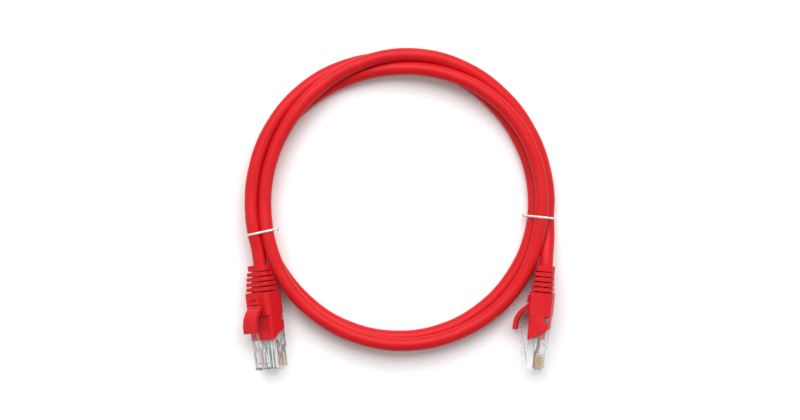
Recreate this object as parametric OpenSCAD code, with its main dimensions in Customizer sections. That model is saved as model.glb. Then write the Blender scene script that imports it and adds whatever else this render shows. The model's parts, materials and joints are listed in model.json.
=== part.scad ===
// Ethernet patch cable: a coil of round cable held by two ties, with a booted
// eight-contact modular plug at each end. Millimetres, +Z up, lying on z = 0,
// with the coil's axis on the Z axis.

/* [Cable] */
// Outer diameter of the cable jacket
cable_d = 5.5; // [5.3:0.1:5.6]
// Radius of the coil, to the middle of its bundle of turns
coil_r = 57.8; // [57.4:0.2:58.2]
// Width of the bundle where it has three turns
bundle_w = 11.3; // [11:0.1:11.6]
// Width of the bundle where it has two turns
bundle_two_w = 8.6; // [8:0.1:9]
// Height of the bundle
bundle_h = 10.6; // [10.2:0.1:11]

/* [Plug] */
// Width of the plug across its contacts
plug_w = 11.7; // [11.6:0.05:11.7]
// Height of the part of the plug that goes into the jack
plug_nose_h = 6.6; // [6.5:0.05:6.6]
// Height of the rear part of the plug
plug_rear_h = 7.3; // [7.25:0.05:7.4]
// Length of the plug body
plug_l = 21.5; // [21:0.1:21.5]
// Length of the part of the plug that goes into the jack
nose_l = 8.6; // [8.4:0.1:8.8]
// Height of the plug's latch face over the cable's axis
latch_face_z = 3.9; // [3.85:0.05:3.9]
// Distance between neighbouring contacts
contact_pitch = 1.02; // [1:0.01:1.02]
// Outer diameter of an insulated conductor
wire_d = 0.95; // [0.85:0.05:0.95]
// Diameter of the copper in a conductor
copper_d = 0.5; // [0.4:0.05:0.55]

/* [Boot] */
// Width of the boot's block
boot_w = 12.8; // [12.6:0.1:12.9]
// Height of the boot's block
boot_h = 9.4; // [9.3:0.1:9.5]
// Distance from the plug's nose to the front of the block
block_front = 22.2; // [22:0.1:22.4]
// Distance from the plug's nose to the back of the block
block_back = 31.6; // [31.4:0.1:31.8]
// Distance from the plug's nose to the rear end of the boot
boot_end = 42.6; // [42.4:0.1:43]
// Width of the tongue that covers the latch
tongue_w = 6.9; // [6.5:0.1:7]
// Thickness of the tongue
tongue_t = 1.7; // [1.6:0.1:1.8]

/* [Latch] */
// Width of the latch at its catches
latch_w = 6.1; // [6:0.05:6.2]
// Width of the latch's tab
tab_w = 3.25; // [3.2:0.05:3.3]

/* [Ties] */
// Width of a tie, along the cable
tie_w = 1; // [0.9:0.1:1.2]
// Thickness of a tie
tie_t = 0.6; // [0.55:0.05:0.7]
// Thickness of the wire in a tie
tie_wire_d = 0.35; // [0.3:0.05:0.4]

/* [Hidden] */
$fn = 48;

ENDS = ["a", "b"];
WIRES = ["white_orange", "orange", "white_green", "blue", "white_blue", "green", "white_brown", "brown"];
WIRE_COLOURS = [
    [0.94, 0.86, 0.78], [0.93, 0.5, 0.18], [0.86, 0.92, 0.84], [0.12, 0.25, 0.6],
    [0.72, 0.84, 0.92], [0.12, 0.5, 0.3], [0.88, 0.82, 0.76], [0.48, 0.3, 0.2],
];
CONTACTS = [1:len(WIRES)];

RED = [0.85, 0.12, 0.14];
DARK_RED = [0.75, 0.08, 0.1];
CLEAR = [0.9, 0.93, 0.95, 0.45];
GOLD = [0.85, 0.68, 0.3];
COPPER = [0.72, 0.42, 0.25];
WHITE = [0.95, 0.95, 0.95];
STEEL = [0.6, 0.62, 0.65];

// Where each plug lies: the middle of its nose, its heading, and how far it has rolled over
nose_a = [-51.8, -67.7, 6.75];
yaw_a = 7;
roll_a = -40;
nose_b = [55.3, -68.1, 6.9];
yaw_b = -5.7;
roll_b = -99;

// The free stretches of cable between boot and coil
free_a = [[-57.9, -18.7, 7.1], [-59.3, -12.7, 7.9], [-60.4, -4.7, 7.8], [-60.5, 2.3, 7.5]];
free_b = [[59.9, -19.7, 5.9], [60.4, -12.7, 3.9], [60.25, -6.2, 3.45], [60.5, 2.3, 2.9]];
cable_sides = 12;

// The coil has three turns over its upper arc, and two, whose middle lies nearer in, over the rest
three_from = -12;
three_to = 197;
two_r = coil_r - 1.4;
arc_overlap = 1;
bundle_corner_r = 2.8;

// Each tie's angle round the coil, and the room inside it for the turns
tie_angle = [192.1, 354.1];
tie_inner_r = 52.3;
tie_outer_r = 63.6;
tie_top_z = 11;
tie_corner_r = 2.6;
tie_gap = 0.05;
tie_end_l = 1.6;
tie_end_z = [8, 3.2];
tie_end_spread = 0.7;
tie_end_tilt = 12;
tie_bare_l = 0.5;

// Plug, in its own frame: nose at y = 0, cable along +Y on z = 0, latch face up
nose_floor_z = latch_face_z - plug_nose_h;
rear_floor_z = latch_face_z - plug_rear_h;
edge_bevel = 0.3;
nose_bevel = 0.8;
nose_wall = 0.8;
wire_z = 0.6;
wire_gap = 0.05;
slot_w = 0.46;
slot_l = 6.4;
fan_front = 7;
fan_h = 2.4;
cable_gap = 0.1;
cavity_front = 12.6;
cavity_w = 8.6;
cavity_h = cable_d + 2 * cable_gap;
jacket_front = 13;
bar_front = 13.1;
bar_back = 17.6;
bar_w = 7.4;
bar_gap = 0.3;
comb_y = [9.7, 11.3];
comb_depth = 1;

// Conductors: side by side in the plug, two rows of four where they leave the jacket
row_pitch = 1.06;
wire_rings_y = [0.9, fan_front, 8, 9, 10, 10.7, 11.4, 12, 12.6, 12.95];
turn_y = wire_rings_y[4];
drawn_in_y = wire_rings_y[8];
wire_sides = 8;
core_gap = 0.02;

// A contact blade
contact_t = 0.3;
contact_y = [0.9, 5.9];
contact_outer_z = nose_floor_z + 0.5;
contact_nose_r = 0.6;
tooth_w = 0.9;
tooth_y = [2, 4.3];
tooth_top_z = wire_z + 0.2;

// Hinge lines of latch and tongue, as [y, z]
hinge_gap = 0.1;
latch_hinge = [2.2, 4.75];
latch_knuckle_r = 1;
tongue_hinge = [25.4, 5.3];
tongue_knuckle_r = 1.2;

// Latch side view: the thick part up to its catches, then the thinner tab
catch_y = 8.2;
catch_z = [5.35, 6.85];
tab_bend_y = 12.4;
tab_bend_z = [6.9, 8];
tab_tip_y = 16.6;
tab_tip_z = [7.85, 8.85];

// Boot: a sleeve over the plug, a block, and a ribbed tail
boot_z = 0.4;
block_corner_r = 1.7;
sleeve_w = 12.6;
sleeve_z = [rear_floor_z - 0.45, latch_face_z + 0.4];
sleeve_fit = 0.05;
sleeve_corner_r = 1;
sleeve_front = 12.2;
sleeve_step = [15.4, -1.1];
sleeve_back_edge = 17.2;
window_y = [19.5, 22];
window_top_z = -2;
window_depth = 1;
rib_t = 1.5;
rib_pitch = 2.05;
rib_gap = rib_pitch - rib_t;
rib_sizes = [[12.6, 8.6], [12, 8.4], [11.4, 8], [10.6, 7.6], [9.4, 7]];
rib_corner_r = 2.2;
core_r = 3.7;
web_t = 1.3;
pad_y = [26.9, 30];
pad_w = 4.8;
pad_h = 1;
pad_rim = 0.9;
pocket_depth = 0.6;
tongue_arc = [17.6, 1.3];
tongue_arc_r = 9.6;
tongue_tip_y = 15.6;

// ---------------------------------------------------------------- helpers

// Extrudes an outline drawn in (y, z) by w, evenly to both sides of x = 0
module across(w) {
    rotate([90, 0, 90])
        translate([0, 0, -w / 2])
            linear_extrude(w)
                children();
}

module rounded_rect(w, h, r) {
    square([w - 2 * r, h], center = true);
    square([w, h - 2 * r], center = true);
    for (x = [-1, 1], y = [-1, 1])
        translate([x * (w / 2 - r), y * (h / 2 - r)])
            circle(r);
}

// A bar of rounded rectangular section along Y, from y0 to y1
module bar(w, h, r, y0, y1, z = 0) {
    translate([0, y1, z])
        rotate([90, 0, 0])
            linear_extrude(y1 - y0)
                rounded_rect(w, h, r);
}

module rod_along_y(r, y0, y1) {
    translate([0, y1, 0])
        rotate([90, 0, 0])
            cylinder(r = r, h = y1 - y0);
}

module rod_along_x(r, w, at) {
    across(w)
        translate(at)
            circle(r);
}

// The two ends of a length about its middle
function about(middle, length) = [middle - length / 2, middle + length / 2];

// A box of width w about x = 0, between two values of y and of z
module box_yz(w, y, z) {
    translate([-w / 2, y[0], z[0]])
        cube([w, y[1] - y[0], z[1] - z[0]]);
}

function is_a(end) = end == "a";
function nose(end) = is_a(end) ? nose_a : nose_b;
function yaw(end) = is_a(end) ? yaw_a : yaw_b;
function roll(end) = is_a(end) ? roll_a : roll_b;

// Moves a plug's own frame to where that plug lies
module placed(end) {
    translate(nose(end))
        rotate([0, 0, yaw(end)])
            rotate([0, roll(end), 0])
                children();
}

// A point on a plug's cable axis, y behind its nose
function on_axis(end, y) = nose(end) + y * [-sin(yaw(end)), cos(yaw(end)), 0];

function unit(v) = v / norm(v);
function heading(route, i) = unit(route[min(i + 1, len(route) - 1)] - route[max(i - 1, 0)]);
function ring(at, along, r, n) =
    let (side = unit(cross(along, [0, 0, 1])), up = cross(side, along))
    [for (k = [0:n - 1]) at + r * (cos(360 * k / n) * side + sin(360 * k / n) * up)];
function rings(route, r, n) = [for (i = [0:len(route) - 1]) each ring(route[i], heading(route, i), r, n)];
function wall(count, n, first, outward) = [
    for (i = [0:count - 2], k = [0:n - 1])
    let (a = first + i * n + k, b = first + i * n + (k + 1) % n)
    outward ? [a, b, b + n, a + n] : [a, a + n, b + n, b]
];

// A round bar swept along a route
module tube(route, r, n) {
    count = len(route);
    last = (count - 1) * n;
    polyhedron(
        points = rings(route, r, n),
        faces = concat(
            wall(count, n, 0, true),
            [[for (k = [n - 1:-1:0]) k]],
            [[for (k = [0:n - 1]) last + k]]
        ),
        convexity = 4
    );
}

// A hollow one
module hose(route, r_out, r_in, n) {
    count = len(route);
    inner = count * n;
    last = (count - 1) * n;
    polyhedron(
        points = concat(rings(route, r_out, n), rings(route, r_in, n)),
        faces = concat(
            wall(count, n, 0, true),
            wall(count, n, inner, false),
            [for (k = [0:n - 1]) [(k + 1) % n, k, inner + k, inner + (k + 1) % n]],
            [
                for (k = [0:n - 1])
                let (next = last + (k + 1) % n)
                [last + k, next, inner + next, inner + last + k]
            ]
        ),
        convexity = 6
    );
}

// ---------------------------------------------------------------- cable and ties

module bundle_arc(r, w, from, to) {
    rotate([0, 0, from])
        rotate_extrude(angle = to - from, $fn = 128)
            translate([r, bundle_h / 2])
                rounded_rect(w, bundle_h, bundle_corner_r);
}

module cable_coil() {
    color(RED)
        difference() {
            union() {
                bundle_arc(coil_r, bundle_w, three_from, three_to);
                bundle_arc(two_r, bundle_two_w, three_to - arc_overlap, 360 + three_from + arc_overlap);
            }
            for (end = ENDS) {
                tie_band(end, tie_w + 2 * tie_gap, 0, tie_t + tie_gap);
                placed(end)
                    bar(
                        boot_w + 2 * cable_gap, boot_h + 2 * cable_gap, block_corner_r,
                        block_front, boot_end + cable_gap, boot_z
                    );
            }
        }
}

function tail_route(end) = concat(
    [for (y = [jacket_front, plug_l, block_back, boot_end]) on_axis(end, y)],
    is_a(end) ? free_a : free_b
);

module cable_tail(end) {
    color(RED)
        tube(tail_route(end), cable_d / 2, cable_sides);
}

function tie_index(end) = is_a(end) ? 0 : 1;

// Turns a frame with x pointing out from the coil's axis to where a tie is
module at_tie(end) {
    rotate([0, 0, tie_angle[tie_index(end)]])
        children();
}

// A closed band round the turns: w wide, lying between two distances outside their room
module tie_band(end, w, near, far) {
    room_w = tie_outer_r - tie_inner_r;
    room_h = tie_top_z - tie_t;
    at_tie(end)
        translate([tie_inner_r + room_w / 2, w / 2, tie_t + room_h / 2])
            rotate([90, 0, 0])
                linear_extrude(w)
                    difference() {
                        rounded_rect(room_w + 2 * far, room_h + 2 * far, tie_corner_r + far);
                        rounded_rect(room_w + 2 * near, room_h + 2 * near, tie_corner_r + near);
                    }
}

// The tie's two twisted-off ends, pointing into the coil
module tie_ends(end, r, l) {
    at_tie(end)
        for (side = [-1, 1])
            translate([tie_inner_r - tie_t / 2, 0, tie_end_z[tie_index(end)]])
                translate(side * tie_end_spread / 2 * [0, 1, 1])
                    rotate([side * tie_end_tilt, -90, 0])
                        cylinder(r = r, h = l, $fn = 24);
}

module tie_coat(end) {
    color(WHITE)
        difference() {
            union() {
                tie_band(end, tie_w, 0, tie_t);
                tie_ends(end, tie_t * 0.8, tie_end_l);
            }
            tie_band(end, tie_wire_d, (tie_t - tie_wire_d) / 2, (tie_t + tie_wire_d) / 2);
            tie_ends(end, tie_wire_d / 2, tie_end_l + 1);
        }
}

module tie_wire(end) {
    color(STEEL) {
        tie_band(end, tie_wire_d, (tie_t - tie_wire_d) / 2, (tie_t + tie_wire_d) / 2);
        tie_ends(end, tie_wire_d / 2, tie_end_l + tie_bare_l);
    }
}

// ---------------------------------------------------------------- plug

function contact_x(k) = (k - (len(WIRES) + 1) / 2) * contact_pitch;

module plug_body() {
    comb_w = len(WIRES) * contact_pitch + 2 * wire_gap;
    color(CLEAR) {
        difference() {
            across(plug_w)
                polygon([
                    [0, nose_floor_z + nose_bevel], [nose_bevel, nose_floor_z], [nose_l, nose_floor_z],
                    [nose_l, rear_floor_z], [plug_l, rear_floor_z], [plug_l, latch_face_z],
                    [edge_bevel, latch_face_z], [0, latch_face_z - edge_bevel],
                ]);
            for (k = CONTACTS)
                translate([contact_x(k), 0, 0])
                    box_yz(slot_w, [-1, slot_l], [nose_floor_z - 1, wire_z]);
            // The flat slot that the conductors lie in, and its funnel from the cable
            box_yz(comb_w, [nose_wall, cavity_front + 1], about(wire_z, wire_d + 2 * wire_gap));
            box_yz(comb_w, [fan_front, cavity_front + 1], about(0, fan_h));
            box_yz(cavity_w, [cavity_front, plug_l + 1], about(0, cavity_h));
            // Room for the strain relief bar, and the recess over the conductors
            box_yz(bar_w + 2 * bar_gap, [bar_front + bar_gap, bar_back + bar_gap], [rear_floor_z - 1, 0]);
            box_yz(bar_w, comb_y, [rear_floor_z - 1, rear_floor_z + comb_depth]);
            rod_along_x(latch_knuckle_r + hinge_gap, latch_w + 4 * hinge_gap, latch_hinge);
        }
        strain_relief_bar();
    }
}

// The bar that has been pressed in on the jacket; it is still one piece with the plug
module strain_relief_bar() {
    face_z = -cable_d / 2 - cable_gap / 2;
    box_yz(bar_w, [bar_front, bar_back], [rear_floor_z, face_z]);
}

module latch() {
    root_z = latch_hinge[1] - latch_knuckle_r / 3;
    color(CLEAR) {
        rod_along_x(latch_knuckle_r, latch_w, latch_hinge);
        across(latch_w)
            polygon([
                [latch_hinge[0], root_z], [latch_hinge[0] + latch_knuckle_r, root_z],
                [catch_y, catch_z[0]], [catch_y, catch_z[1]],
                [latch_hinge[0], latch_hinge[1] + latch_knuckle_r],
            ]);
        across(tab_w)
            polygon([
                [catch_y - 0.2, catch_z[0]], [tab_bend_y, tab_bend_z[0]], [tab_tip_y, tab_tip_z[0]],
                [tab_tip_y, tab_tip_z[1]], [tab_bend_y, tab_bend_z[1]], [catch_y - 0.2, catch_z[1] - 0.4],
            ]);
    }
}

module contact(k) {
    top_z = wire_z - wire_d / 2;
    color(GOLD)
        translate([contact_x(k), 0, 0])
            across(contact_t) {
                translate([contact_y[0], contact_outer_z + contact_nose_r])
                    square([contact_y[1] - contact_y[0], top_z - contact_outer_z - contact_nose_r]);
                translate([contact_y[0] + contact_nose_r, contact_outer_z])
                    square([contact_y[1] - contact_y[0] - contact_nose_r, contact_nose_r]);
                translate([contact_y[0], contact_outer_z] + contact_nose_r * [1, 1])
                    circle(contact_nose_r);
                // The teeth that pierce the conductor
                for (y = tooth_y)
                    polygon([[y, top_z], [y + tooth_w, top_z], [y + tooth_w / 2, tooth_top_z]]);
            }
}

function ease(s) = let (t = min(1, max(0, s))) t * t * (3 - 2 * t);

// A conductor first drops to its row, then draws in to its place in the jacket
function wire_route(k) = [
    for (y = wire_rings_y)
    let (
        drop = ease((y - fan_front) / (turn_y - fan_front)),
        draw_in = ease((y - turn_y) / (drawn_in_y - turn_y)),
        row_x = (floor((k - 1) / 2) - 1.5) * row_pitch,
        row_z = (k % 2 - 0.5) * row_pitch
    )
    [contact_x(k) * (1 - draw_in) + row_x * draw_in, y, wire_z * (1 - drop) + row_z * drop]
];

module wire(k) {
    color(WIRE_COLOURS[k - 1])
        hose(wire_route(k), wire_d / 2, copper_d / 2 + core_gap, wire_sides);
}

module copper_cores() {
    color(COPPER)
        for (k = CONTACTS)
            tube(wire_route(k), copper_d / 2, wire_sides);
}

// ---------------------------------------------------------------- boot

module boot() {
    pad_top = boot_z + boot_h / 2 + pad_h;
    color(RED)
        difference() {
            union() {
                sleeve();
                bar(boot_w, boot_h, block_corner_r, block_front, block_back, boot_z);
                rod_along_y(core_r, block_back - arc_overlap, boot_end);
                for (i = [0:len(rib_sizes) - 1]) {
                    rib(i);
                    web(i);
                }
                box_yz(pad_w, pad_y, [0, pad_top]);
            }
            plug_room();
            rod_along_y(cable_d / 2 + cable_gap, plug_l - 1, boot_end + 1);
            rod_along_x(tongue_knuckle_r + hinge_gap, tongue_w + 4 * hinge_gap, tongue_hinge);
            box_yz(pad_w - 2 * pad_rim, pad_y + pad_rim * [1, -1], [pad_top - pocket_depth, pad_top + 1]);
            for (x = [-1, 1])
                translate([x * sleeve_w / 2, 0, 0])
                    box_yz(2 * window_depth, window_y, [sleeve_z[0] - 1, window_top_z]);
        }
}

// The sleeve's front is cut back slantwise towards the contacts, with a step in each side
module sleeve() {
    intersection() {
        bar(
            sleeve_w, sleeve_z[1] - sleeve_z[0], sleeve_corner_r, sleeve_front - 1, block_front + 1,
            (sleeve_z[0] + sleeve_z[1]) / 2
        );
        across(sleeve_w + 1)
            polygon([
                [sleeve_front, boot_h], [block_back, boot_h],
                [block_back, -boot_h], [sleeve_back_edge, -boot_h],
                [sleeve_back_edge, sleeve_z[0]], sleeve_step - [0, 1.2], sleeve_step,
                [sleeve_front, latch_face_z - 0.5],
            ]);
    }
}

module plug_room() {
    box_yz(
        plug_w + 2 * sleeve_fit, [0, plug_l + cable_gap],
        [rear_floor_z - sleeve_fit, latch_face_z + sleeve_fit]
    );
}

module rib(i) {
    from = block_back + rib_gap + i * rib_pitch;
    to = i == len(rib_sizes) - 1 ? boot_end : from + rib_t;
    bar(rib_sizes[i][0], rib_sizes[i][1], rib_corner_r, from, to, boot_z);
}

// Joins a rib to the one before it, along the middle of the boot's narrow sides
module web(i) {
    y = block_back + i * rib_pitch;
    box_yz(rib_sizes[i][0] - block_corner_r, [y - 0.1, y + rib_gap + 0.1], about(boot_z, web_t));
}

module boot_tongue() {
    color(DARK_RED)
        across(tongue_w) {
            intersection() {
                translate(tongue_arc)
                    difference() {
                        circle(tongue_arc_r, $fn = 96);
                        circle(tongue_arc_r - tongue_t, $fn = 96);
                    }
                translate([tongue_arc[0], tongue_hinge[1]])
                    square(tongue_arc_r);
            }
            translate([tongue_tip_y, tongue_arc[1] + tongue_arc_r - tongue_t])
                square([tongue_arc[0] - tongue_tip_y + 0.01, tongue_t]);
            translate(tongue_hinge)
                circle(tongue_knuckle_r);
        }
}

// ---------------------------------------------------------------- nodes

cable_coil();
for (end = ENDS) {
    cable_tail(end);
    tie_coat(end);
    tie_wire(end);
    placed(end) plug_body();
    placed(end) latch();
    placed(end) copper_cores();
    placed(end) boot();
    placed(end) boot_tongue();
    for (k = CONTACTS) {
        placed(end) contact(k);
        placed(end) wire(k);
    }
}
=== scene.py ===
"""Looks of the ethernet patch cable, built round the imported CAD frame.

The frame is in metres. Names that end in _MM, and points in a plug's own frame (x across it,
y from the nose towards the cable, z towards the latch face), are in millimetres.
"""

import json
import math

import bpy
import numpy as np
from mathutils import Matrix, Vector


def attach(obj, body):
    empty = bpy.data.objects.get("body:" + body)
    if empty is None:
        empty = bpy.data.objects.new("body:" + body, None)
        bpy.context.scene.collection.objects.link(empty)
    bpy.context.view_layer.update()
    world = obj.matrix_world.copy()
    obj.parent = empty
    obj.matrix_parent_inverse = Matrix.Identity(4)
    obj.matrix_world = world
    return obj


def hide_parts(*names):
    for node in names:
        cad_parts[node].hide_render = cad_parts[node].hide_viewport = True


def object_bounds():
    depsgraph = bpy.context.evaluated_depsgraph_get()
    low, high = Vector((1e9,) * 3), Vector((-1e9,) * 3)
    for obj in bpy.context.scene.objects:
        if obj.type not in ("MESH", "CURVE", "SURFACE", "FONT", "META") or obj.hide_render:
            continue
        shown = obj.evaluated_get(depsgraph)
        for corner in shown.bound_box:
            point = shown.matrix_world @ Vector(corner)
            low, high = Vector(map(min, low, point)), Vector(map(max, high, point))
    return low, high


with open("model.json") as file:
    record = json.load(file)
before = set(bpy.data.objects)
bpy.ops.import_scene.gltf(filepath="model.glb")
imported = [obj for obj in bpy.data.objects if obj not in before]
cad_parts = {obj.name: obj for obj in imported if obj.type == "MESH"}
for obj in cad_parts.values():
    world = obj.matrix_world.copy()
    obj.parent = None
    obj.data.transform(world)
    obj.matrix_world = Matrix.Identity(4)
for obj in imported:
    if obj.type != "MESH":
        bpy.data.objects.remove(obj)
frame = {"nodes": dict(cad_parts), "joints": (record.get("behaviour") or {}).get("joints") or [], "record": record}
CAD_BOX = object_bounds()

MM = 0.001
ENDS = ("a", "b")
NODES = frame["nodes"]
JOINTS = {joint["name"]: joint for joint in frame["joints"]}
MOUNTS = {mount["name"]: mount for mount in frame["record"]["mounts"]}
FLOOR_Z = CAD_BOX[0][2]

# ---------------------------------------------------------------- sizes

JACKET_MM = 5.5
JACKET_BORE_MM = 4.7
JACKET_BORE_DEPTH_MM = 2
COIL_R_MM = 57.8
TURNS = 2.5
POINTS_PER_TURN = 36
PILE_R_MM = JACKET_MM / math.sqrt(3)
SLUMP_DEG = 29
ROUTE_STEP_MM = 0.6
STEPS_PER_SPAN = 24

# The lumps that the twisted pairs raise in the jacket: their height, and how far each winds
LUMP_MM = 0.035
PAIR_TWIST = 0.019
CABLE_TWIST = 0.047

# Along a plug's axis: the jacket's cut end, two more points, and the boot's far end
AXIS_MM = (13, 21.5, 31.6, 42.6)

# From each boot's end to the coil
FREE_MM = {
    "a": [(-57.9, -18.7, 7.1), (-59.3, -12.7, 7.9), (-60.4, -4.7, 7.8), (-60.5, 2.3, 7.5)],
    "b": [(59.9, -19.7, 5.9), (60.4, -12.7, 3.9), (60.25, -6.2, 3.45), (60.5, 2.3, 2.9)],
}

TIE_DEG = {"a": 192.1, "b": 354.1}
TIE_THICK_MM = 0.6
TIE_LIFT_REACH_DEG = 8
TIE_END_MM = 1.4
TIE_END_R_MM = 0.3
TIE_END_STEP_MM = 0.1
TIE_BARE_MM = 0.5
TIE_BARE_HIDDEN_MM = 0.3
TIE_WIRE_MM = 0.35
TIE_TWIST_MM = 2.6
HULL_STEPS = 120

NOSE_MOUNT_Z_MM = 2.2

WIRE_NAMES = (
    "white_orange",
    "orange",
    "white_green",
    "blue",
    "white_blue",
    "green",
    "white_brown",
    "brown",
)
WIRE_MM = 0.95
WIRE_STEP_MM = 0.3
WIRE_BORE_DEPTH_MM = 0.5
COPPER_MM = 0.5
COPPER_GAP_MM = 0.02
CONTACT_PITCH_MM = 1.02
WIRE_ROW_PITCH_MM = 1.06
WIRE_Z_MM = 0.6
WIRE_FRONT_MM = 0.9
WIRE_FAN_MM = 7
WIRE_TURN_MM = 10
WIRE_DRAWN_MM = 12.6
WIRE_BACK_MM = 13.8


def ease(share):
    """0 to 1, flat at both ends."""
    t = min(1, max(0, share))
    return t * t * (3 - 2 * t)


def plug_matrix(end):
    """From a plug's own frame, in millimetres, to the row frame, in metres."""
    nose = MOUNTS[f"plug_{end}_nose"]
    back = -Vector(nose["axis"])
    across = Vector(JOINTS[f"tongue_{end}_press"]["axis"])
    up = across.cross(back)
    origin = Vector(nose["pos_m"]) - NOSE_MOUNT_Z_MM * MM * up
    turn = Matrix((across, back, up)).transposed().to_4x4()
    return Matrix.Translation(origin) @ turn @ Matrix.Scale(MM, 4)


PLUG = {end: plug_matrix(end) for end in ENDS}

# ---------------------------------------------------------------- camera

PHOTO_WIDTH = 0.3265
PHOTO_CENTRE = (0, -0.003, 0.005)
LENS_MM = 100


def add_camera():
    """Straight above the coil, as the photograph was taken."""
    data = bpy.data.cameras.new("camera")
    data.lens = LENS_MM
    camera = bpy.data.objects.new("camera", data)
    bpy.context.collection.objects.link(camera)
    distance = PHOTO_WIDTH * LENS_MM / data.sensor_width
    camera.location = Vector(PHOTO_CENTRE) + Vector((0, 0, distance))
    data.clip_start = 0.01
    bpy.context.scene.camera = camera


# ---------------------------------------------------------------- routes


def strands_beside(turn):
    """The strands, as turns from the cable's start, that lie at the same place in the coil."""
    first = turn % 1
    return [t for t in (first, first + 1, first + 2) if t <= TURNS]


def pile_turn(turn):
    """Where a strand lies round the pile, in radians from straight outwards. Over the upper arc
    the three strands wind half round each other; over the lower arc two of them wind back a
    sixth, and slump."""
    start = 30 - 120 * int(turn)
    upper = turn % 1
    lower = upper - 0.5
    if lower < 0:
        return math.radians(start - 180 * ease(2.25 * upper))
    slump = SLUMP_DEG * ease(8 * lower) * ease(8 * (0.5 - lower))
    return math.radians(start - 180 + 120 * lower - slump)


def tie_lift(deg):
    """How far a tie under the coil lifts the strands."""
    return max(
        TIE_THICK_MM * math.exp(-(((deg - at + 180) % 360 - 180) / TIE_LIFT_REACH_DEG) ** 2)
        for at in TIE_DEG.values()
    )


def strand_place(turn):
    """A strand's angle round the coil, its distance from the axis, and its height."""
    deg = 180 - 360 * turn
    lowest = min(math.sin(pile_turn(t)) for t in strands_beside(turn))
    r = COIL_R_MM + PILE_R_MM * math.cos(pile_turn(turn))
    z = JACKET_MM / 2 + PILE_R_MM * (math.sin(pile_turn(turn)) - lowest) + tie_lift(deg)
    return deg, r, z


def strand_point(turn):
    deg, r, z = strand_place(turn)
    return (r * math.cos(math.radians(deg)), r * math.sin(math.radians(deg)), z)


def plug_axis_points(end):
    """The cable's points inside a plug and its boot, in millimetres in the row frame."""
    return [tuple(PLUG[end] @ Vector((0, y, 0)) / MM) for y in AXIS_MM]


def cable_points():
    coil = [strand_point(i / POINTS_PER_TURN) for i in range(1, round(TURNS * POINTS_PER_TURN))]
    start = plug_axis_points("a") + FREE_MM["a"]
    stop = plug_axis_points("b") + FREE_MM["b"]
    return np.array(start + coil + stop[::-1]) * MM


def smooth_route(points, step):
    """Points about one step apart on a curve through the given ones."""
    pts = np.array(points, float)
    pts = np.vstack([2 * pts[0] - pts[1], pts, 2 * pts[-1] - pts[-2]])
    gaps = np.sqrt(np.linalg.norm(np.diff(pts, axis=0), axis=1))
    knots = np.concatenate([[0], np.cumsum(gaps)])
    fine = []
    for i in range(1, len(pts) - 2):
        k0, k1, k2, k3 = knots[i - 1 : i + 3]
        p0, p1, p2, p3 = pts[i - 1 : i + 3]
        t = np.linspace(k1, k2, STEPS_PER_SPAN, endpoint=False)[:, None]
        a1 = ((k1 - t) * p0 + (t - k0) * p1) / (k1 - k0)
        a2 = ((k2 - t) * p1 + (t - k1) * p2) / (k2 - k1)
        a3 = ((k3 - t) * p2 + (t - k2) * p3) / (k3 - k2)
        b1 = ((k2 - t) * a1 + (t - k0) * a2) / (k2 - k0)
        b2 = ((k3 - t) * a2 + (t - k1) * a3) / (k3 - k1)
        fine.append(((k2 - t) * b1 + (t - k1) * b2) / (k2 - k1))
    fine = np.vstack(fine + [pts[-2:-1]])
    along = distance_along(fine)
    stops = np.linspace(0, along[-1], max(2, round(along[-1] / step)) + 1)
    return np.column_stack([np.interp(stops, along, fine[:, k]) for k in range(3)])


def distance_along(route):
    return np.concatenate([[0], np.cumsum(np.linalg.norm(np.diff(route, axis=0), axis=1))])


def carried_frames(route, side):
    """At each point two directions square to the route, carried along it without twist."""
    ahead = np.gradient(route, axis=0)
    ahead /= np.linalg.norm(ahead, axis=1)[:, None]
    sides = []
    for direction in ahead:
        side = side - direction * (side @ direction)
        side = side / np.linalg.norm(side)
        sides.append(side)
    sides = np.array(sides)
    return sides, np.cross(sides, ahead)


# ---------------------------------------------------------------- meshes


def new_piece(name, points, faces, body):
    """A smooth mesh object in the row frame that rides on a body."""
    mesh = bpy.data.meshes.new(name)
    mesh.from_pydata([tuple(p) for p in points], [], [tuple(f) for f in faces])
    mesh.validate()
    piece = bpy.data.objects.new(name, mesh)
    bpy.context.collection.objects.link(piece)
    mesh.polygons.foreach_set("use_smooth", [True] * len(mesh.polygons))
    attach(piece, body)
    return piece


def loft_faces(rings, sides):
    """Quads between neighbouring closed rings."""
    faces = []
    for i in range(rings - 1):
        for k in range(sides):
            n = (k + 1) % sides
            faces.append((i * sides + k, i * sides + n, (i + 1) * sides + n, (i + 1) * sides + k))
    return faces


def loft_uv(piece, along, sides):
    """Lays a loft's faces out with u along it in metres, and v once round it."""
    layer = piece.data.uv_layers.new(name="UVMap")
    rings = len(along)
    for polygon in piece.data.polygons:
        corners = list(polygon.loop_indices)
        ks = [piece.data.loops[c].vertex_index % sides for c in corners]
        wraps = 0 in ks and sides - 1 in ks
        for corner, k in zip(corners, ks):
            ring = piece.data.loops[corner].vertex_index // sides
            turn = sides if wraps and k == 0 else k
            layer.data[corner].uv = (along[min(ring, rings - 1)], turn / sides)


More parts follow.
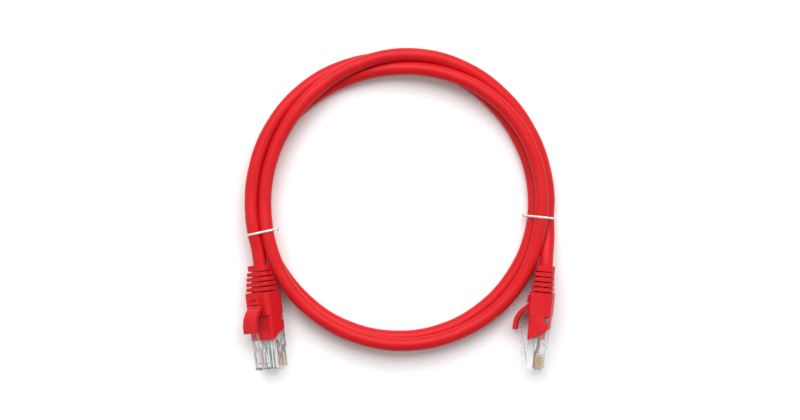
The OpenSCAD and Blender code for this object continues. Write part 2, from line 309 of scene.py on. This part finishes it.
def tube(name, route, radius, body, sides=28, side=(0, 0, -1), bore=None, bore_depth=0.0):
    """A tube along a route. radius(u, turn) is its radius u metres along, at a turn round it.
    Its ends are closed flat, or open into a short bore."""
    route = np.array(route)
    along = distance_along(route)
    across, up = carried_frames(route, np.array(side, float))
    turns = np.arange(sides) / sides
    circle = np.cos(2 * np.pi * turns), np.sin(2 * np.pi * turns)

    def ring(i, radii):
        spread = radii[:, None] * (circle[0][:, None] * across[i] + circle[1][:, None] * up[i])
        return route[i] + spread

    rings = [ring(i, radius(along[i], turns)) for i in range(len(route))]
    places = list(along)
    if bore:
        inner = np.full(sides, bore)
        steps = max(1, round(bore_depth / (along[-1] / len(along))))
        rings = [ring(steps, inner), ring(0, inner)] + rings
        rings += [ring(-1, inner), ring(-1 - steps, inner)]
        places = [0, 0] + places + [along[-1], along[-1]]
    points = np.vstack(rings)
    faces = loft_faces(len(rings), sides)
    first_cap = tuple(reversed(range(sides)))
    last_cap = tuple(range(len(points) - sides, len(points)))
    piece = new_piece(name, points, faces + [first_cap, last_cap], body)
    loft_uv(piece, places, sides)
    return piece


def even(radius_mm):
    """The radius, for tube(), of a plain round tube."""
    return lambda u, turns: np.full(len(turns), radius_mm * MM)


def in_plug(end, points):
    """Points of a plug's own frame, in the row frame."""
    matrix = np.array(PLUG[end])
    return np.array(points, float) @ matrix[:3, :3].T + matrix[:3, 3]


# ---------------------------------------------------------------- materials

# How deep a material's relief is, in metres
MOULDED_RELIEF = 0.0002
SOFT_RELIEF = 0.0001
METAL_RELIEF = 0.00005


def linear(r, g, b):
    """An sRGB colour of 0 to 255 as a shader takes it."""
    parts = [c / 255 for c in (r, g, b)]
    return tuple(c / 12.92 if c <= 0.04045 else ((c + 0.055) / 1.055) ** 2.4 for c in parts) + (1,)


def material(name, **constants):
    """A new material, its tree and its shader, with constant socket values set by name."""
    made = bpy.data.materials.new(name)
    made.use_nodes = True
    shader = made.node_tree.nodes["Principled BSDF"]
    for socket, value in constants.items():
        shader.inputs[socket.replace("_", " ")].default_value = value
    return made, made.node_tree, shader


def place(tree, stretch=(1, 1, 1), source="Object"):
    """Texture coordinates, stretched."""
    coordinates = tree.nodes.new("ShaderNodeTexCoord")
    mapping = tree.nodes.new("ShaderNodeMapping")
    mapping.inputs["Scale"].default_value = stretch
    tree.links.new(coordinates.outputs[source], mapping.inputs["Vector"])
    return mapping.outputs["Vector"]


def noise(tree, where, scale, detail=3, roughness=0.55):
    made = tree.nodes.new("ShaderNodeTexNoise")
    made.inputs["Scale"].default_value = scale
    made.inputs["Detail"].default_value = detail
    made.inputs["Roughness"].default_value = roughness
    tree.links.new(where, made.inputs["Vector"])
    return made.outputs["Fac"]


def ramp(tree, value, stops):
    """Colours, or greys, at places from 0 to 1 of a value."""
    made = tree.nodes.new("ShaderNodeValToRGB")
    elements = made.color_ramp.elements
    while len(elements) < len(stops):
        elements.new(0.5)
    for element, (at, colour) in zip(elements, stops):
        element.position = at
        element.color = colour if isinstance(colour, tuple) else (colour, colour, colour, 1)
    tree.links.new(value, made.inputs["Fac"])
    return made.outputs["Color"]


def maths(tree, operation, first, second):
    made = tree.nodes.new("ShaderNodeMath")
    made.operation = operation
    for slot, value in enumerate((first, second)):
        if isinstance(value, (int, float)):
            made.inputs[slot].default_value = value
        else:
            tree.links.new(value, made.inputs[slot])
    return made.outputs["Value"]


def mix(tree, factor, first, second, blend="MIX"):
    made = tree.nodes.new("ShaderNodeMix")
    made.data_type = "RGBA"
    made.blend_type = blend
    for socket, value in (("Factor", factor), ("A", first), ("B", second)):
        slots = [s for s in made.inputs if s.name == socket and s.enabled]
        if isinstance(value, (int, float, tuple)):
            slots[0].default_value = value
        else:
            tree.links.new(value, slots[0])
    return [s for s in made.outputs if s.enabled][0]


def bump(tree, shader, layers, distance):
    """Chained bumps of (height, strength)."""
    last = None
    for height, strength in layers:
        made = tree.nodes.new("ShaderNodeBump")
        made.inputs["Strength"].default_value = strength
        made.inputs["Distance"].default_value = distance
        tree.links.new(height, made.inputs["Height"])
        if last:
            tree.links.new(last, made.inputs["Normal"])
        last = made.outputs["Normal"]
    tree.links.new(last, shader.inputs["Normal"])


def edge_highlight_mask(tree):
    """0 on flat faces to 1 along outer edges."""
    geometry = tree.nodes.new("ShaderNodeNewGeometry")
    return ramp(tree, geometry.outputs["Pointiness"], [(0.52, 0.0), (0.6, 1.0)])


def jacket_look():
    """Satin red PVC, with faint streaks along it from the extruder and small scuffs."""
    made, tree, shader = material("jacket_pvc", IOR=1.45, Specular_IOR_Level=0.22)
    drawn = place(tree, (60, 9, 1), "UV")
    solid = place(tree)
    streaks = noise(tree, drawn, 6, 4)
    clouds = noise(tree, solid, 90, 3)
    scuffs = noise(tree, solid, 900, 5, 0.7)
    base = ramp(tree, clouds, [(0.3, linear(200, 22, 28)), (0.7, linear(210, 25, 32))])
    streaked = ramp(tree, streaks, [(0.35, 0.9), (0.65, 1.0)])
    colour = mix(tree, 1.0, base, streaked, "MULTIPLY")
    lightened = ramp(tree, scuffs, [(0.62, 0.0), (0.78, 0.35)])
    colour = mix(tree, lightened, colour, linear(216, 46, 50))
    tree.links.new(colour, shader.inputs["Base Color"])
    shine = ramp(tree, streaks, [(0.3, 0.4), (0.7, 0.48)])
    tree.links.new(shine, shader.inputs["Roughness"])
    grain = noise(tree, solid, 2600, 2)
    bump(tree, shader, [(streaks, 0.05), (grain, 0.1)], MOULDED_RELIEF)
    return made


def boot_look(name, light, dark):
    """Moulded PVC: a fine matt grain, and a painted highlight that makes the outer edges a little lighter."""
    made, tree, shader = material(name, IOR=1.5, Specular_IOR_Level=0.2)
    solid = place(tree)
    clouds = noise(tree, solid, 160, 3)
    grain = noise(tree, solid, 3200, 3, 0.6)
    scuffs = noise(tree, solid, 700, 5, 0.7)
    base = ramp(tree, clouds, [(0.3, dark), (0.7, light)])
    # Painted highlight: lighter red along the outer edges, its strength varied by the scuff noise
    lightened = maths(tree, "MULTIPLY", edge_highlight_mask(tree), ramp(tree, scuffs, [(0.4, 0.1), (0.7, 0.5)]))
    colour = mix(tree, lightened, base, linear(216, 52, 56))
    tree.links.new(colour, shader.inputs["Base Color"])
    tree.links.new(ramp(tree, scuffs, [(0.3, 0.4), (0.7, 0.52)]), shader.inputs["Roughness"])
    bump(tree, shader, [(clouds, 0.15), (grain, 0.2)], MOULDED_RELIEF)
    return made


def clear_look(name, painted_grey_from):
    """Clear polycarbonate, with flow lines and the haze of moulding. Its colour is painted grey where it is seen
    slantwise, from a share of the way to its outline: painted shade for the dark reflections of its edges. Lamps
    shine through it."""
    made, tree, shader = material(name, IOR=1.42, Transmission_Weight=0.93)
    solid = place(tree)
    flow = noise(tree, place(tree, (1, 0.25, 1)), 420, 3)
    haze = noise(tree, solid, 150, 3)
    tint = ramp(tree, haze, [(0.3, linear(240, 242, 243)), (0.7, linear(252, 252, 252))])
    slant = tree.nodes.new("ShaderNodeLayerWeight")
    slant.inputs["Blend"].default_value = 0.35
    # Painted shade: the colour turns grey towards the outline, where the part is seen more slantwise
    painted_edge_shade = ramp(tree, slant.outputs["Facing"], [(painted_grey_from, 0.0), (0.95, 1.0)])
    tree.links.new(mix(tree, painted_edge_shade, tint, linear(120, 128, 137)), shader.inputs["Base Color"])
    tree.links.new(ramp(tree, haze, [(0.3, 0.03), (0.7, 0.1)]), shader.inputs["Roughness"])
    bump(tree, shader, [(flow, 0.1)], MOULDED_RELIEF)
    open_to_lamps(tree, shader)
    return made


def open_to_lamps(tree, shader):
    """Lets light from the lamps pass, where Cycles would leave full shade behind glass."""
    rays = tree.nodes.new("ShaderNodeLightPath")
    passing = tree.nodes.new("ShaderNodeBsdfTransparent")
    passing.inputs["Color"].default_value = linear(240, 240, 240)
    either = tree.nodes.new("ShaderNodeMixShader")
    tree.links.new(rays.outputs["Is Shadow Ray"], either.inputs["Fac"])
    tree.links.new(shader.outputs["BSDF"], either.inputs[1])
    tree.links.new(passing.outputs["BSDF"], either.inputs[2])
    tree.links.new(either.outputs["Shader"], tree.nodes["Material Output"].inputs["Surface"])


def gold_look():
    """Gold flash on the contacts, with the marks of stamping."""
    made, tree, shader = material("contact_gold", Metallic=1.0)
    solid = place(tree)
    marks = noise(tree, place(tree, (1, 1, 6)), 1800, 3)
    patches = noise(tree, solid, 900, 2)
    tint = ramp(tree, patches, [(0.3, linear(204, 150, 60)), (0.7, linear(236, 194, 104))])
    tree.links.new(tint, shader.inputs["Base Color"])
    tree.links.new(ramp(tree, marks, [(0.3, 0.18), (0.7, 0.34)]), shader.inputs["Roughness"])
    bump(tree, shader, [(marks, 0.15)], METAL_RELIEF)
    return made


def metal_look(name, dark, light, roughness):
    """Drawn wire: streaks and small stains."""
    made, tree, shader = material(name, Metallic=1.0)
    solid = place(tree)
    streaks = noise(tree, solid, 2500, 3)
    tint = ramp(tree, noise(tree, solid, 700, 3), [(0.3, dark), (0.7, light)])
    tree.links.new(tint, shader.inputs["Base Color"])
    shine = ramp(tree, streaks, [(0.3, roughness - 0.08), (0.7, roughness + 0.1)])
    tree.links.new(shine, shader.inputs["Roughness"])
    bump(tree, shader, [(streaks, 0.2)], METAL_RELIEF)
    return made


def tie_look():
    """White plastic of a tie, a little creased and soiled."""
    made, tree, shader = material("tie_plastic", IOR=1.45, Specular_IOR_Level=0.35)
    solid = place(tree)
    soil = noise(tree, solid, 500, 4)
    creases = noise(tree, solid, 1500, 3)
    tint = ramp(tree, soil, [(0.3, linear(206, 200, 194)), (0.65, linear(240, 238, 234))])
    tree.links.new(tint, shader.inputs["Base Color"])
    tree.links.new(ramp(tree, creases, [(0.3, 0.38), (0.7, 0.55)]), shader.inputs["Roughness"])
    bump(tree, shader, [(creases, 0.3)], SOFT_RELIEF)
    return made


def insulation_look(name, colour, stripe=None):
    """Polyethylene insulation, and a stripe along it on the pale ones."""
    made, tree, shader = material(f"insulation_{name}", IOR=1.5, Specular_IOR_Level=0.4)
    solid = place(tree)
    clouds = noise(tree, solid, 900, 3)
    shaded = mix(tree, ramp(tree, clouds, [(0.3, 0.0), (0.7, 0.35)]), colour, linear(60, 60, 60))
    if stripe:
        uv = tree.nodes.new("ShaderNodeSeparateXYZ")
        tree.links.new(place(tree, source="UV"), uv.inputs["Vector"])
        wave = maths(tree, "SINE", maths(tree, "MULTIPLY", uv.outputs["Y"], 4 * math.pi), 0)
        shaded = mix(tree, ramp(tree, wave, [(0.1, 0.0), (0.3, 1.0)]), shaded, stripe)
    tree.links.new(shaded, shader.inputs["Base Color"])
    tree.links.new(ramp(tree, clouds, [(0.3, 0.3), (0.7, 0.45)]), shader.inputs["Roughness"])
    bump(tree, shader, [(clouds, 0.2)], SOFT_RELIEF)
    return made


# ---------------------------------------------------------------- cable


def jacket_radius(u, turns):
    """The twisted pairs inside show as very shallow lumps that wind round the jacket."""
    pairs = np.sin(2 * np.pi * (2 * turns - u / PAIR_TWIST))
    bundle = 0.6 * np.sin(2 * np.pi * (turns + u / CABLE_TWIST))
    return (JACKET_MM / 2 + LUMP_MM * (pairs + bundle)) * MM


def add_cable(look):
    route = smooth_route(cable_points(), ROUTE_STEP_MM * MM)
    cable = tube(
        "cable",
        route,
        jacket_radius,
        "cable",
        bore=JACKET_BORE_MM / 2 * MM,
        bore_depth=JACKET_BORE_DEPTH_MM * MM,
    )
    cable.data.materials.append(look)
    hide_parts("cable_coil", "cable_tail_a", "cable_tail_b")
    return cable, route


# ---------------------------------------------------------------- ties


def tie_directions(end):
    """Straight out from the coil's axis at a tie, and along the turns there."""
    deg = math.radians(TIE_DEG[end])
    return np.array((math.cos(deg), math.sin(deg), 0)), np.array((-math.sin(deg), math.cos(deg), 0))


def crossings(route, end):
    """Where the cable passes through a tie's plane: (distance from the axis, height), in mm."""
    out, along = tie_directions(end)
    found = []
    for near, far in zip(route / MM, route[1:] / MM):
        before, after = near @ along, far @ along
        if near @ out > 0 and before * after <= 0:
            point = near + (far - near) * before / (before - after)
            found.append((point @ out, point[2]))
    return found


def tie_hull(route, end):
    """The tie's line round the strands, as (distance from the axis, height, outward direction)."""
    centres = crossings(route, end)
    hull = []
    for step in range(HULL_STEPS):
        angle = 2 * math.pi * step / HULL_STEPS
        out = (math.cos(angle), math.sin(angle))
        r, z = max(centres, key=lambda c: c[0] * out[0] + c[1] * out[1])
        hull.append((r + JACKET_MM / 2 * out[0], z + JACKET_MM / 2 * out[1], *out))
    return hull


# Half a tie's section, as (across the strip, out from the turns): flat edges, a wire ridge
TIE_SECTION_MM = (
    (0.42, 0.02),
    (0.45, 0.16),
    (0.4, 0.3),
    (0.27, 0.33),
    (0.2, 0.5),
    (0.1, 0.58),
    (0, 0.6),
)


def tie_point(end, r, z, aside):
    """A point near a tie, in metres: aside is along the turns."""
    out, along = tie_directions(end)
    return (r * out + aside * along + np.array((0, 0, z))) * MM


def add_tie(route, end, coat_look, wire_look):
    """A strip round the turns, and its two ends twisted together inside the coil. Returns all
    its pieces."""
    section = TIE_SECTION_MM + tuple((-x, y) for x, y in TIE_SECTION_MM[-2::-1])
    hull = tie_hull(route, end)
    points = []
    for r, z, out_r, out_z in hull:
        for aside, height in section:
            points.append(tie_point(end, r + height * out_r, z + height * out_z, aside))
    n = len(section)
    faces = []
    for i in range(len(hull)):
        j = (i + 1) % len(hull)
        for k in range(n):
            m = (k + 1) % n
            faces.append((i * n + k, j * n + k, j * n + m, i * n + m))
    strip = new_piece(f"tie_strip_{end}", points, faces, "cable")
    strip.data.materials.append(coat_look)
    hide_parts(f"tie_coat_{end}")
    pieces = [strip]
    inner_r, inner_z = hull[HULL_STEPS // 2][:2]
    for which in range(2):
        pieces += add_tie_end(end, which, inner_r - TIE_THICK_MM / 2, inner_z, coat_look, wire_look)
    return pieces


def add_tie_end(end, which, r, z, coat_look, wire_look):
    """One of a tie's two ends, wound round the other, with a bare wire tip that splays."""

    def twisted(reach):
        turn = 2 * math.pi * reach / TIE_TWIST_MM + which * math.pi
        spread = TIE_END_R_MM * (1 + ease(reach / TIE_END_MM - 0.5))
        return tie_point(end, r - reach, z + spread * math.sin(turn), spread * math.cos(turn))

    def stretch_of(start, stop):
        return [twisted(reach) for reach in np.arange(start, stop, TIE_END_STEP_MM)]

    coated = stretch_of(0, TIE_END_MM + TIE_END_STEP_MM / 10)
    bare = stretch_of(TIE_END_MM - TIE_BARE_HIDDEN_MM, TIE_END_MM + TIE_BARE_MM)
    pieces = []
    for kind, line, radius, look in (
        ("coat", coated, TIE_END_R_MM, coat_look),
        ("wire", bare, TIE_WIRE_MM / 2, wire_look),
    ):
        piece = tube(f"tie_end_{kind}_{which + 1}_{end}", line, even(radius), "cable", sides=12)
        piece.data.materials.append(look)
        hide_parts(f"tie_{kind}_{end}")
        pieces.append(piece)
    return pieces


# ---------------------------------------------------------------- plugs


def wire_route(k):
    """A conductor's route in the plug: down to its row, then in to its place in the jacket."""
    side_x = (k - 4.5) * CONTACT_PITCH_MM
    row_x = ((k - 1) // 2 - 1.5) * WIRE_ROW_PITCH_MM
    row_z = (k % 2 - 0.5) * WIRE_ROW_PITCH_MM
    route = []
    for y in np.arange(WIRE_FRONT_MM, WIRE_BACK_MM + WIRE_STEP_MM / 30, WIRE_STEP_MM):
        drop = ease((y - WIRE_FAN_MM) / (WIRE_TURN_MM - WIRE_FAN_MM))
        draw_in = ease((y - WIRE_TURN_MM) / (WIRE_DRAWN_MM - WIRE_TURN_MM))
        x = side_x + (row_x - side_x) * draw_in
        z = WIRE_Z_MM + (row_z - WIRE_Z_MM) * drop
        route.append((x, y, z))
    return route


def add_wire(end, k, look):
    """A conductor's insulation, bored at both ends for the copper."""
    name = WIRE_NAMES[k - 1]
    route = in_plug(end, wire_route(k))
    up = np.array(PLUG[end].to_3x3().col[2]) / MM
    skin = tube(
        f"insulation_{name}_{end}",
        route,
        even(WIRE_MM / 2),
        "cable",
        sides=16,
        side=up,
        bore=(COPPER_MM / 2 + COPPER_GAP_MM) * MM,
        bore_depth=WIRE_BORE_DEPTH_MM * MM,
    )
    skin.data.materials.append(look)
    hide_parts(f"wire_{name}_{end}")


WELD_MM = 0.002
FLAT_DEG = 1
EDGE_DEG = 28


def keep_node(name, look, round_off_mm, segments=3):
    """A CAD node that stays: its edges rounded off a little, and its look."""
    node = NODES[name]
    weld = node.modifiers.new("weld", "WELD")
    weld.merge_threshold = WELD_MM * MM
    plain = node.modifiers.new("plain_faces", "DECIMATE")
    plain.decimate_type = "DISSOLVE"
    plain.angle_limit = math.radians(FLAT_DEG)
    rounded = node.modifiers.new("rounded_edges", "BEVEL")
    rounded.width = round_off_mm * MM
    rounded.segments = segments
    rounded.limit_method = "ANGLE"
    rounded.angle_limit = math.radians(EDGE_DEG)
    rounded.harden_normals = True
    weighted = node.modifiers.new("even_shading", "WEIGHTED_NORMAL")
    weighted.keep_sharp = True
    node.data.materials.clear()
    node.data.materials.append(look)


def add_plugs(looks):
    for end in ENDS:
        keep_node(f"plug_body_{end}", looks["clear"], 0.12)
        keep_node(f"latch_{end}", looks["latch"], 0.15)
        keep_node(f"boot_{end}", looks["boot"], 0.2)
        keep_node(f"boot_tongue_{end}", looks["tongue"], 0.25)
        keep_node(f"copper_cores_{end}", looks["copper"], 0.02, 1)
        for k in range(1, 9):
            keep_node(f"contact_{k}_{end}", looks["gold"], 0.04, 2)
            add_wire(end, k, looks[WIRE_NAMES[k - 1]])


# ---------------------------------------------------------------- studio

FLOOR_REACH = 1.5

# Each soft lamp's name, size, power in watts, and place. All aim at the coil's centre.
LAMPS = (
    ("key_softbox", (2.4, 1.7), 62, (0, 1.2, 1.68)),
    ("left_softbox", (1.0, 1.4), 8, (-1.7, -0.2, 1.3)),
    ("right_softbox", (1.0, 1.4), 8, (1.7, -0.2, 1.3)),
)

# The backdrop's strength as a light, and as the camera sees it
WORLD_LIGHT = 0.22
WORLD_SEEN = 0.9


def add_floor():
    corners = [
        (-FLOOR_REACH, -FLOOR_REACH),
        (FLOOR_REACH, -FLOOR_REACH),
        (FLOOR_REACH, FLOOR_REACH),
        (-FLOOR_REACH, FLOOR_REACH),
    ]
    mesh = bpy.data.meshes.new("floor")
    mesh.from_pydata([(x, y, FLOOR_Z) for x, y in corners], [], [(0, 1, 2, 3)])
    floor = bpy.data.objects.new("floor", mesh)
    bpy.context.collection.objects.link(floor)
    made, tree, shader = material("floor_paper", Roughness=0.9, Specular_IOR_Level=0.1)
    fibres = noise(tree, place(tree), 900, 4)
    tint = ramp(tree, fibres, [(0.3, linear(240, 240, 240)), (0.7, linear(245, 245, 245))])
    tree.links.new(tint, shader.inputs["Base Color"])
    mesh.materials.append(made)


def add_lamp(name, size, power, place_at):
    data = bpy.data.lights.new(name, "AREA")
    data.shape = "RECTANGLE"
    data.size, data.size_y = size
    data.energy = power
    lamp = bpy.data.objects.new(name, data)
    bpy.context.collection.objects.link(lamp)
    lamp.location = place_at
    lamp.rotation_euler = (-Vector(place_at)).to_track_quat("-Z", "Y").to_euler()


def add_world():
    """A pale backdrop that itself gives only a little light."""
    world = bpy.data.worlds.new("pale_studio")
    world.use_nodes = True
    tree = world.node_tree
    back = tree.nodes["Background"]
    back.inputs["Color"].default_value = (1, 1, 1, 1)
    rays = tree.nodes.new("ShaderNodeLightPath")
    strength = tree.nodes.new("ShaderNodeMapRange")
    strength.inputs["To Min"].default_value = WORLD_LIGHT
    strength.inputs["To Max"].default_value = WORLD_SEEN
    tree.links.new(rays.outputs["Is Camera Ray"], strength.inputs["Value"])
    tree.links.new(strength.outputs["Result"], back.inputs["Strength"])
    bpy.context.scene.world = world


def add_studio():
    add_floor()
    for lamp in LAMPS:
        add_lamp(*lamp)
    add_world()
    bpy.context.scene.view_settings.view_transform = "Standard"


# ---------------------------------------------------------------- the scene


def insulation_looks():
    white = linear(232, 230, 224)
    plain = {
        "orange": linear(228, 92, 20),
        "green": linear(8, 122, 70),
        "blue": linear(8, 84, 168),
        "brown": linear(104, 58, 38),
    }
    looks = {name: insulation_look(name, colour) for name, colour in plain.items()}
    for name, colour in plain.items():
        looks[f"white_{name}"] = insulation_look(f"white_{name}", white, colour)
    return looks


def declare_cord(ties):
    """The patch cable is one cord from plug to plug, with ties round its turns. This gathers the ties and plug b's
    pieces into a list, and does nothing more with it.
    """
    kinds = ("plug_body", "latch", "boot", "boot_tongue")
    on_cord = ties + [NODES[f"{kind}_b"] for kind in kinds]
    on_cord += [NODES[f"contact_{k}_b"] for k in range(1, 9)]


add_camera()
looks = {
    "jacket": jacket_look(),
    "boot": boot_look("boot_pvc", linear(206, 20, 30), linear(196, 17, 26)),
    # The tongue is a copy of the boot's PVC made a little darker: painted shade
    "tongue": boot_look("tongue_pvc_shaded", linear(200, 19, 29), linear(190, 16, 25)),
    "clear": clear_look("clear_polycarbonate", 0.6),
    # The latch's copy of the clear plastic starts its painted grey shade nearer its middle, so it reads darker
    # grey all over
    "latch": clear_look("latch_polycarbonate_painted_grey", 0.1),
    "gold": gold_look(),
    "copper": metal_look("copper", linear(170, 92, 58), linear(214, 136, 96), 0.3),
    "steel": metal_look("tie_steel", linear(120, 124, 128), linear(176, 180, 184), 0.35),
    "tie": tie_look(),
    **insulation_looks(),
}
cable, cable_route = add_cable(looks["jacket"])
ties = []
for end in ENDS:
    ties += add_tie(cable_route, end, looks["tie"], looks["steel"])
add_plugs(looks)
declare_cord(ties)
add_studio()

bpy.context.view_layer.update()
